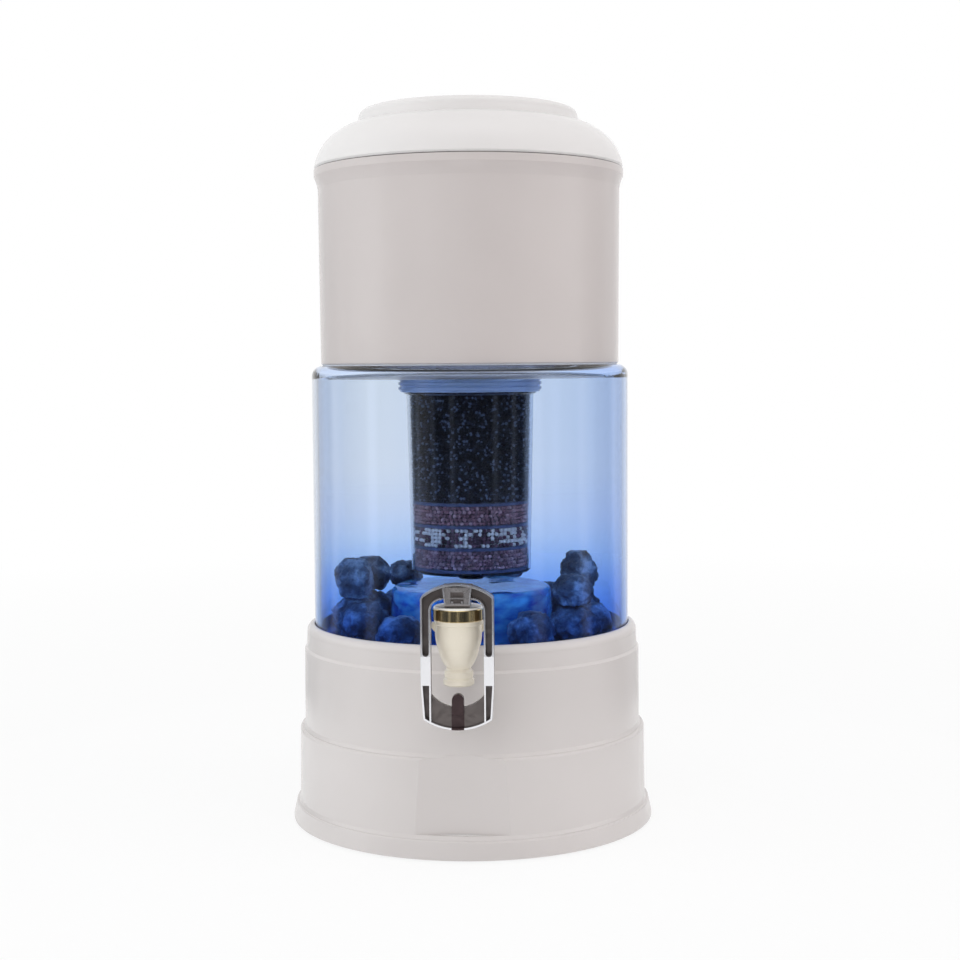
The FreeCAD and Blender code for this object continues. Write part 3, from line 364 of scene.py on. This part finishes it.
def tonedSkin(name, look):
    material, tree, shader = newMaterial(name)
    tone = addNode(tree, "ShaderNodeAttribute", attribute_name="tone").outputs["Fac"]
    colour = ramp(tree, tone, look["tones"], constant=True)
    faint = grain(tree, objectPlace(tree), grainSkin["specks"], detail=2)
    specks = mottled(tree, faint, *grainSkin["speckTones"])
    wire(tree, shader, Base_Color=mixed(tree, grainSkin["speckShare"], colour, specks, "MULTIPLY"),
         Roughness=spreadOf(tree, faint, look["rough"], look["rough"] + grainSkin["polish"]))
    return material


finishes = {"chromePlate": chromePlate(), "blueGlass": blueGlass(), "darkStone": stoneSkin()}
for looks, make in ((plastics, mouldedPlastic), (metals, brushedMetal),
                    (clearLooks, clearPlastic), (grainLooks, tonedSkin)):
    finishes.update({name: make(name, look) for name, look in looks.items()})
print("finishes made:", len(finishes))

nodeFinish = {
    "whitePlastic": ("stand", "filter_base"),
    "tankPlasticPaintedShade": ("upper_tank",),
    "lidPlasticPaintedLight": ("lid",),
    "creamPlastic": ("tap_body", "tap_nut", "valve_stem"),
    "bonnetPlastic": ("bonnet",),
    "blackPlastic": ("outlet_nozzle",),
    "paleRubber": ("seat_cushion", "tank_gasket", "outer_gasket", "inner_gasket", "filter_washer",
                   "cartridge_seal", "valve_seal"),
    "darkRubber": ("feet",),
    "ceramicSponge": ("filter_dome",),
    "screenPlastic": ("bottom_screen", "lower_screen", "upper_screen", "carbon_screen"),
    "goldMetal": ("gold_ring",),
    "steel": ("lever_pin", "return_spring"),
    "chromePlate": ("lever",),
    "blueGlass": ("glass_tank",),
    "clearCap": ("cartridge_cap",),
    "clearJar": ("cartridge_jar",),
    "darkStone": ("mineral_stones",),
    "redBrownBalls": ("lower_ball_bed", "upper_ball_bed"),
    "mixedBalls": ("middle_ball_bed",),
    "carbonGrains": ("carbon_bed",),
}
for finish, names in nodeFinish.items():
    for name in names:
        nodes[name].data.materials.clear()
        nodes[name].data.materials.append(finishes[finish])
print("nodes finished:", sum(len(names) for names in nodeFinish.values()))


# rows of grains in a round bed, by Geometry Nodes

fullTurn = 6.283
bedInputs = (
    ("Foot Radius", "NodeSocketFloat", 0.04),
    ("Top Radius", "NodeSocketFloat", 0.04),
    ("Foot", "NodeSocketFloat", 0.0),
    ("Height", "NodeSocketFloat", 0.013),
    ("Rows", "NodeSocketInt", 5),
    ("Around", "NodeSocketInt", 80),
    ("Grain", "NodeSocketFloat", 0.0028),
    ("Jitter", "NodeSocketFloat", 0.0002),
    ("Least Size", "NodeSocketFloat", 0.95),
    ("Clumping", "NodeSocketFloat", 0.0),
    ("Clump Scale", "NodeSocketFloat", 110.0),
    ("Back Turn", "NodeSocketFloat", 1.3),  # of the second shell, in radians
    ("Back Share", "NodeSocketFloat", 0.915),
    ("Core Depth", "NodeSocketFloat", 1.9),  # in grains
    ("Core Sides", "NodeSocketInt", 64),
    ("Rounding", "NodeSocketInt", 2),
    ("Smooth", "NodeSocketBool", True),
    ("Skin", "NodeSocketMaterial", None),
    ("Core", "NodeSocketMaterial", None),
    ("Seed", "NodeSocketInt", 3),
)


def drawn(tree, seed, low, high):
    # a random vector for each point
    inputs = {"Min": low, "Max": high, "Seed": seed}
    return addNode(tree, "FunctionNodeRandomValue", inputs, data_type="FLOAT_VECTOR").outputs["Value"]


def rotation(tree, angles):
    return addNode(tree, "FunctionNodeEulerToRotation", {0: angles}).outputs[0]


def realized(tree, geometry):
    return addNode(tree, "GeometryNodeRealizeInstances", {"Geometry": geometry}).outputs[0]


def together(tree, *parts):
    made = tree.nodes.new("GeometryNodeJoinGeometry")
    for part in parts:
        tree.links.new(part, made.inputs[0])
    return made.outputs[0]


def painted(tree, geometry, material):
    return addNode(tree, "GeometryNodeSetMaterial", {"Geometry": geometry, "Material": material}).outputs[0]


def grainSpots(tree, given, grainRadius):
    # a point for each grain: rings of points up the bed, and a second shell that fills their chinks
    gaps = maths(tree, "SUBTRACT", given["Rows"], 1.0)
    pitch = maths(tree, "DIVIDE", maths(tree, "SUBTRACT", given["Height"], given["Grain"]), gaps)
    start = pointAt(tree, z=maths(tree, "ADD", given["Foot"], grainRadius))
    column = addNode(tree, "GeometryNodeMeshLine", {
        "Count": given["Rows"], "Start Location": start, "Offset": pointAt(tree, z=pitch)})
    circle = addNode(tree, "GeometryNodeMeshCircle", {"Vertices": given["Around"], "Radius": 1.0})
    row = addNode(tree, "GeometryNodeInputIndex").outputs[0]
    outer = addNode(tree, "ShaderNodeMapRange", {
        "Value": row, "From Min": 0.0, "From Max": gaps,
        "To Min": given["Foot Radius"], "To Max": given["Top Radius"]})
    reach = maths(tree, "SUBTRACT", outer.outputs["Result"], grainRadius)
    turn = drawn(tree, given["Seed"], (0, 0, 0), (0, 0, fullTurn))
    rings = addNode(tree, "GeometryNodeInstanceOnPoints", {
        "Points": column.outputs["Mesh"], "Instance": circle.outputs["Mesh"],
        "Rotation": rotation(tree, turn), "Scale": pointAt(tree, reach, reach, 1.0)})
    shell = realized(tree, rings.outputs[0])
    share = given["Back Share"]
    behind = addNode(tree, "GeometryNodeTransform", {
        "Geometry": shell, "Rotation": rotation(tree, pointAt(tree, z=given["Back Turn"])),
        "Scale": pointAt(tree, share, share, 1.0)})
    away = maths(tree, "MULTIPLY", given["Jitter"], -1.0)
    near = pointAt(tree, *[given["Jitter"]] * 3)
    shift = drawn(tree, given["Seed"], pointAt(tree, away, away, away), near)
    shells = together(tree, shell, behind.outputs[0])
    return addNode(tree, "GeometryNodeSetPosition", {"Geometry": shells, "Offset": shift}).outputs[0]


def bedTree():
    tree = bpy.data.node_groups.new("grainBed", "GeometryNodeTree")
    tree.interface.new_socket("Geometry", in_out="OUTPUT", socket_type="NodeSocketGeometry")
    for label, kind, value in bedInputs:
        socket = tree.interface.new_socket(label, in_out="INPUT", socket_type=kind)
        if value is not None:
            socket.default_value = value
    given = tree.nodes.new("NodeGroupInput").outputs
    grainRadius = maths(tree, "MULTIPLY", given["Grain"], 0.5)
    spots = grainSpots(tree, given, grainRadius)
    ball = addNode(tree, "GeometryNodeMeshIcoSphere", {
        "Radius": grainRadius, "Subdivisions": given["Rounding"]})
    size = drawn(tree, given["Seed"], pointAt(tree, *[given["Least Size"]] * 3), (1, 1, 1))
    tumble = drawn(tree, given["Seed"], (0, 0, 0), (fullTurn, fullTurn, fullTurn))
    placed = addNode(tree, "GeometryNodeInstanceOnPoints", {
        "Points": spots, "Instance": ball.outputs["Mesh"], "Rotation": rotation(tree, tumble), "Scale": size})
    # each grain's tone: its own chance, pulled up or down with its neighbours' in clumps
    chance = addNode(tree, "FunctionNodeRandomValue", {2: 0.0, 3: 1.0, "Seed": given["Seed"]},
                     data_type="FLOAT")
    spot = addNode(tree, "GeometryNodeInputPosition").outputs[0]
    cloud = grain(tree, spot, given["Clump Scale"], detail=1)
    lean = maths(tree, "MULTIPLY", maths(tree, "SUBTRACT", cloud, 0.5), given["Clumping"])
    toned = addNode(tree, "GeometryNodeStoreNamedAttribute", {
        "Geometry": placed.outputs[0], "Name": "tone", "Value": maths(tree, "ADD", chance.outputs[1], lean)},
        data_type="FLOAT", domain="INSTANCE")
    grains = realized(tree, toned.outputs[0])
    eased = addNode(tree, "GeometryNodeSetShadeSmooth", {"Geometry": grains, "Shade Smooth": given["Smooth"]})
    # a dark core behind the grains, as painted shade in the bed's depths
    deep = maths(tree, "MULTIPLY", given["Grain"], given["Core Depth"])
    cone = addNode(tree, "GeometryNodeMeshCone", {
        "Vertices": given["Core Sides"], "Depth": given["Height"],
        "Radius Top": maths(tree, "SUBTRACT", given["Top Radius"], deep),
        "Radius Bottom": maths(tree, "SUBTRACT", given["Foot Radius"], deep)})
    core = addNode(tree, "GeometryNodeTransform", {
        "Geometry": cone.outputs["Mesh"], "Translation": pointAt(tree, z=given["Foot"])})
    whole = together(tree, painted(tree, eased.outputs[0], given["Skin"]),
                     painted(tree, core.outputs[0], given["Core"]))
    addNode(tree, "NodeGroupOutput", {"Geometry": whole})
    return tree


def placedObject(name, mesh):
    made = bpy.data.objects.new(name, mesh)
    bpy.context.scene.collection.objects.link(made)
    return made


def grownMesh(name, tree, values):
    # runs the tree on an empty object and keeps the result as a plain mesh
    seedling = placedObject(name, bpy.data.meshes.new(name))
    modifier = seedling.modifiers.new("grow", "NODES")
    modifier.node_group = tree
    for item in tree.interface.items_tree:
        if item.in_out == "INPUT" and item.name in values:
            modifier[item.identifier] = values[item.name]
    reached = bpy.context.evaluated_depsgraph_get()
    mesh = bpy.data.meshes.new_from_object(seedling.evaluated_get(reached), depsgraph=reached)
    bpy.data.objects.remove(seedling)
    return placedObject(name, mesh)


def takePlace(piece, node, body):
    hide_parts(node)
    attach(piece, body)
    print(piece.name, len(piece.data.polygons), "faces")


jarTaper = 0.0201  # how much the jar's bore widens for each metre of height
beds = {  # what isn't given is as in bedInputs
    "upperBalls": {"node": "upper_ball_bed", "slot": "red_brown_balls", "skin": "redBrownBalls",
                   "inputs": {"Seed": 11}},
    "middleBalls": {"node": "middle_ball_bed", "slot": "mixed_balls", "skin": "mixedBalls",
                    "inputs": {"Seed": 23, "Clumping": 2.4}},
    "lowerBalls": {"node": "lower_ball_bed", "slot": "red_brown_balls", "skin": "redBrownBalls",
                   "inputs": {"Seed": 37}},
    "carbonGrains": {"node": "carbon_bed", "slot": "carbon", "skin": "carbonGrains",
                     "inputs": {"Seed": 5, "Rows": 38, "Around": 128, "Grain": 0.0025, "Jitter": 0.00045,
                                "Least Size": 0.62, "Rounding": 1, "Smooth": False}},
}


def makeBeds():
    tree = bedTree()
    for name, look in beds.items():
        low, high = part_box(look["node"])
        height = high.z - low.z
        values = {"Foot Radius": high.x - jarTaper * height, "Top Radius": high.x, "Foot": low.z,
                  "Height": height, "Skin": finishes[look["skin"]], "Core": finishes["shadowCorePlastic"]}
        values.update(look["inputs"])
        takePlace(grownMesh(name, tree, values), look["node"], "cartridge")


# stones: each CAD boulder wrapped, softened and worn

stones = {
    "weld": 0.00001,
    "subdivisions": 5,
    "softening": 2,  # passes
    "dents": 0.24,  # depth, as a share of the stone's radius there
    "dentScale": 90.0,
    "dentNoise": (0.8, 2.1, 4),  # roughness, lacunarity and octaves
    "pits": 0.05,
    "pitScale": 420.0,
    "drift": (1.7, 0.9, 2.3),  # moves the noise on from one stone to the next
    "least": 0.01,  # radius where the wrap misses its boulder
}


def islands(mesh):
    # the loose parts of a copy of a CAD mesh, in the same order on every run
    work = bmesh.new()
    work.from_mesh(mesh)
    bmesh.ops.remove_doubles(work, verts=work.verts, dist=stones["weld"])
    left = dict.fromkeys(work.verts)
    while left:
        reached = [left.popitem()[0]]
        for vert in reached:
            for edge in vert.link_edges:
                other = edge.other_vert(vert)
                if other in left:
                    del left[other]
                    reached.append(other)
        yield reached
    work.free()


def wornStone(corners, faces, seed):
    hull = BVHTree.FromPolygons(corners, faces)
    middle = sum(corners, Vector()) / len(corners)
    stone = bmesh.new()
    bmesh.ops.create_icosphere(stone, subdivisions=stones["subdivisions"], radius=1.0)
    for vert in stone.verts:
        hit = hull.ray_cast(middle, vert.co.normalized())[0]
        vert.co = hit if hit else middle + vert.co * stones["least"]
    axes = {"use_axis_x": True, "use_axis_y": True, "use_axis_z": True}
    for _ in range(stones["softening"]):
        bmesh.ops.smooth_vert(stone, verts=stone.verts, factor=0.5, **axes)
    drift = Vector([seed * step for step in stones["drift"]])
    for vert in stone.verts:
        out = vert.co - middle
        dent = abs(noise.fractal(vert.co * stones["dentScale"] + drift, *stones["dentNoise"]))
        pit = 0.5 + 0.5 * noise.noise(vert.co * stones["pitScale"] + drift)
        vert.co = middle + out * (1 - stones["dents"] * min(dent, 1.0) - stones["pits"] * pit)
    return stone


def makeStones():
    whole = bmesh.new()
    for seed, verts in enumerate(islands(nodes["mineral_stones"].data)):
        index = {vert: i for i, vert in enumerate(verts)}
        faces = dict.fromkeys(face for vert in verts for face in vert.link_faces)
        stone = wornStone([v.co.copy() for v in verts], [[index[v] for v in f.verts] for f in faces], seed)
        piece = bpy.data.meshes.new("stone")
        stone.to_mesh(piece)
        whole.from_mesh(piece)
        stone.free()
        bpy.data.meshes.remove(piece)
    mesh = bpy.data.meshes.new("wornStones")
    bmesh.ops.recalc_face_normals(whole, faces=whole.faces)
    whole.to_mesh(mesh)
    whole.free()
    mesh.shade_smooth()
    mesh.materials.append(finishes["darkStone"])
    takePlace(placedObject("wornStones", mesh), "mineral_stones", "glass")


makeBeds()
makeStones()
print("beds and stones in place")


# the world's light

worldLight = {
    "level": 0.47,
    "throughGlass": 3.2,  # times more where it reaches the inside, because the lamps' light doesn't
}


def seenWhite(tree):
    # 1 where a camera, mirror or glass looks, 0 for the light that falls on the object
    path = tree.nodes.new("ShaderNodeLightPath").outputs
    seen = maths(tree, "MAXIMUM", path["Is Camera Ray"], path["Is Glossy Ray"])
    return maths(tree, "MAXIMUM", seen, path["Is Transmission Ray"])


def makeWorld():
    world = bpy.data.worlds.new("studio")
    world.use_nodes = True
    tree = world.node_tree
    background = tree.nodes["Background"]
    background.inputs["Color"].default_value = (1, 1, 1, 1)
    level = rangeOf(tree, seenWhite(tree), 0.0, 1.0, worldLight["level"], 1.0)
    path = tree.nodes.new("ShaderNodeLightPath").outputs
    scattered = maths(tree, "MULTIPLY", path["Diffuse Depth"], path["Is Transmission Ray"], clamp=True)
    inner = rangeOf(tree, scattered, 0.0, 1.0, 1.0, worldLight["throughGlass"])
    wire(tree, background, Strength=maths(tree, "MULTIPLY", level, inner))
    bpy.context.scene.world = world


# the floor's paper

floorLook = {
    "size": 7.0,
    "colour": (0.86, 0.86, 0.86),
    "vary": 0.015,
    "rough": 0.9,
    "fibres": 40,
    "lift": 0.88,  # share of plain white that is seen in the floor near the object
    "fade": (0.5, 1.6),  # from here to there the floor turns plain white
}


def makeFloor():
    bpy.ops.mesh.primitive_plane_add(size=floorLook["size"])
    floor = bpy.context.object
    floor.name = "floor"
    material, tree, shader = newMaterial("floorPaper", Roughness=floorLook["rough"])
    fibres = grain(tree, objectPlace(tree), floorLook["fibres"], detail=4)
    low = shaded(floorLook["colour"], 1 - floorLook["vary"])
    wire(tree, shader, Base_Color=mottled(tree, fibres, low, floorLook["colour"]))
    glow = addNode(tree, "ShaderNodeEmission", {"Color": (1, 1, 1, 1), "Strength": 1.0})
    lift = rangeOf(tree, lengthOf(tree, objectPlace(tree)), *floorLook["fade"], floorLook["lift"], 1.0)
    share = maths(tree, "MULTIPLY", seenWhite(tree), lift)
    mix = addNode(tree, "ShaderNodeMixShader", {0: share, 1: shader.outputs[0], 2: glow.outputs[0]})
    wire(tree, tree.nodes["Material Output"], Surface=mix.outputs[0])
    floor.data.materials.append(material)


# square lamps, which only light the object and show in no gloss or glass

lamps = {
    "front": {"place": (-0.6, -2.1, 0.75), "size": 1.4, "watts": 13.0, "colour": (1.0, 1.0, 1.0)},
    "left": {"place": (-2.1, -0.35, 0.65), "size": 1.3, "watts": 17.0, "colour": (0.92, 1.0, 1.02)},
    "right": {"place": (2.1, -0.35, 0.65), "size": 1.3, "watts": 16.0, "colour": (1.0, 1.0, 1.0)},
    "top": {"place": (0.1, -0.25, 2.3), "size": 1.3, "watts": 16.0, "colour": (1.0, 1.0, 1.0)},
}
lampAim = (0.0, 0.0, 0.24)


def makeLamps():
    for name, look in lamps.items():
        light = bpy.data.lights.new(name, "AREA")
        light.shape = "SQUARE"
        light.size = look["size"]
        light.energy = look["watts"]
        light.color = look["colour"]
        lamp = placedObject(name, light)
        turn = (Vector(lampAim) - Vector(look["place"])).to_track_quat("-Z", "Y").to_matrix().to_4x4()
        lamp.matrix_world = Matrix.Translation(look["place"]) @ turn
        lamp.visible_glossy = False
        lamp.visible_transmission = False


# the dark room round the front and sides: a bent wall and a floor sheet that only gloss and glass see

room = {
    "radius": 3.0,
    "height": 0.8,
    "sheetHeight": 0.003,
    "halfAngle": 165,  # degrees each way round from the tap's side
    "steps": 48,
    "fade": (115, 160),  # degrees, from dark to open
    "sheetStart": 0.45,
    "notch": (7, 0.95),  # half angle and start of the gap that the lever's rails shine from
    "felt": ((0.02, 0.022, 0.03), (0.035, 0.04, 0.06)),
    "feltScale": 3,
    "bands": 9.0,  # faint upright bands of light
    "bandLight": 0.35,
    "bandSpan": (0.55, 0.95),  # heights of the sine wave between which a band grows bright
    "bandsFrom": (0.25, 0.6),  # radians away from the tap's side
}


def stageCard(name, corners, faces, material, inGloss=True):
    # seen through glass and by gloss, never by the camera, and throws no shadow
    mesh = bpy.data.meshes.new(name)
    mesh.from_pydata(corners, [], faces)
    mesh.materials.append(material)
    card = placedObject(name, mesh)
    for ray in ("camera", "diffuse", "shadow", "volume_scatter"):
        setattr(card, "visible_" + ray, False)
    card.visible_glossy = inGloss


def roomFelt():
    material, tree, shader = newMaterial("roomFelt", Roughness=1.0, Emission_Color=(1, 1, 1, 1))
    felt = grain(tree, objectPlace(tree), room["feltScale"], detail=2)
    split = parted(tree, objectPlace(tree))
    bearing = maths(tree, "ARCTAN2", split["X"], maths(tree, "MULTIPLY", split["Y"], -1.0))
    wave = maths(tree, "SINE", maths(tree, "MULTIPLY", bearing, room["bands"]))
    aside = maths(tree, "ABSOLUTE", bearing)
    light = maths(tree, "MULTIPLY", rangeOf(tree, wave, *room["bandSpan"]), room["bandLight"])
    light = maths(tree, "MULTIPLY", light, rangeOf(tree, aside, *room["bandsFrom"]))
    wire(tree, shader, Base_Color=mottled(tree, felt, *room["felt"]), Emission_Strength=light)
    openness = rangeOf(tree, aside, *[math.radians(angle) for angle in room["fade"]])
    scattered = tree.nodes.new("ShaderNodeLightPath").outputs["Diffuse Depth"]
    openness = maths(tree, "MAXIMUM", openness, scattered, clamp=True)
    through = addNode(tree, "ShaderNodeBsdfTransparent")
    mix = addNode(tree, "ShaderNodeMixShader", {0: openness, 1: shader.outputs[0], 2: through.outputs[0]})
    wire(tree, tree.nodes["Material Output"], Surface=mix.outputs[0])
    return material


def makeRoom():
    steps = room["steps"]
    turns = [math.radians(room["halfAngle"]) * (2 * i / steps - 1) for i in range(steps + 1)]
    half, start = room["notch"]
    starts = [start if abs(t) < math.radians(half) else room["sheetStart"] for t in turns]

    def arc(radii, height):
        return [(r * math.sin(t), -r * math.cos(t), height) for r, t in zip(radii, turns)]

    far = [room["radius"]] * len(turns)
    foot = arc(far, room["sheetHeight"])
    strips = [(i, i + 1, i + steps + 2, i + steps + 1) for i in range(steps)]
    felt = roomFelt()
    stageCard("roomWall", foot + arc(far, room["height"]), strips, felt)
    stageCard("roomFloor", arc(starts, room["sheetHeight"]) + foot, strips, felt)


# a blue gel at the right behind the object, seen only through the glass: painted shade that darkens and blues
# the glass's right side

gel = {"left": -0.12, "fullFrom": 0.20, "right": 4.0, "foot": 0.003, "top": 2.0, "behind": 0.5,
       "tint": (0.66, 0.77, 0.97)}


def makeGel():
    material, tree, shader = newMaterial("gelSheet")
    across = rangeOf(tree, parted(tree, objectPlace(tree))["X"], gel["left"], gel["fullFrom"])
    tint = ramp(tree, across, [(0.0, (1.0, 1.0, 1.0)), (1.0, gel["tint"])])
    through = addNode(tree, "ShaderNodeBsdfTransparent", {"Color": tint})
    wire(tree, tree.nodes["Material Output"], Surface=through.outputs[0])
    tree.nodes.remove(shader)
    left, right, deep, foot, top = (gel[key] for key in ("left", "right", "behind", "foot", "top"))
    corners = [(left, deep, foot), (right, deep, foot), (right, deep, top), (left, deep, top)]
    stageCard("gel", corners, [(0, 1, 2, 3)], material, inGloss=False)


# the photograph's camera

view = {
    "focal": 62.4,  # on a 36 mm sensor
    "distance": 1.1574,
    "height": 0.3157,
    "azimuth": 3.2,  # degrees round from the tap's side
    "yaw": 0.323,
    "pitch": 4.027,
    "roll": 0.389,
    "clip": (0.05, 50.0),
}


def makeCamera():
    data = bpy.data.cameras.new("camera")
    data.lens = view["focal"]
    data.sensor_width = 36.0
    data.clip_start, data.clip_end = view["clip"]
    camera = placedObject("camera", data)
    yaw, pitch, roll = (math.radians(view[key]) for key in ("yaw", "pitch", "roll"))
    right = Vector((math.cos(yaw), -math.sin(yaw), 0))
    ahead = Vector((math.sin(yaw), math.cos(yaw), 0))
    up = Vector((0, 0, 1))
    forward = ahead * math.cos(pitch) - up * math.sin(pitch)
    above = up * math.cos(pitch) + ahead * math.sin(pitch)
    side = right * math.cos(roll) - above * math.sin(roll)
    above = right * math.sin(roll) + above * math.cos(roll)
    turn = Matrix((side, above, -forward)).transposed().to_4x4()
    place = Matrix.Translation((0, -view["distance"], view["height"]))
    camera.matrix_world = Matrix.Rotation(math.radians(view["azimuth"]), 4, "Z") @ place @ turn
    bpy.context.scene.camera = camera


makeWorld()
makeFloor()
makeLamps()
makeRoom()
makeGel()
makeCamera()
bpy.context.scene.view_settings.view_transform = "Standard"
print("studio ready")
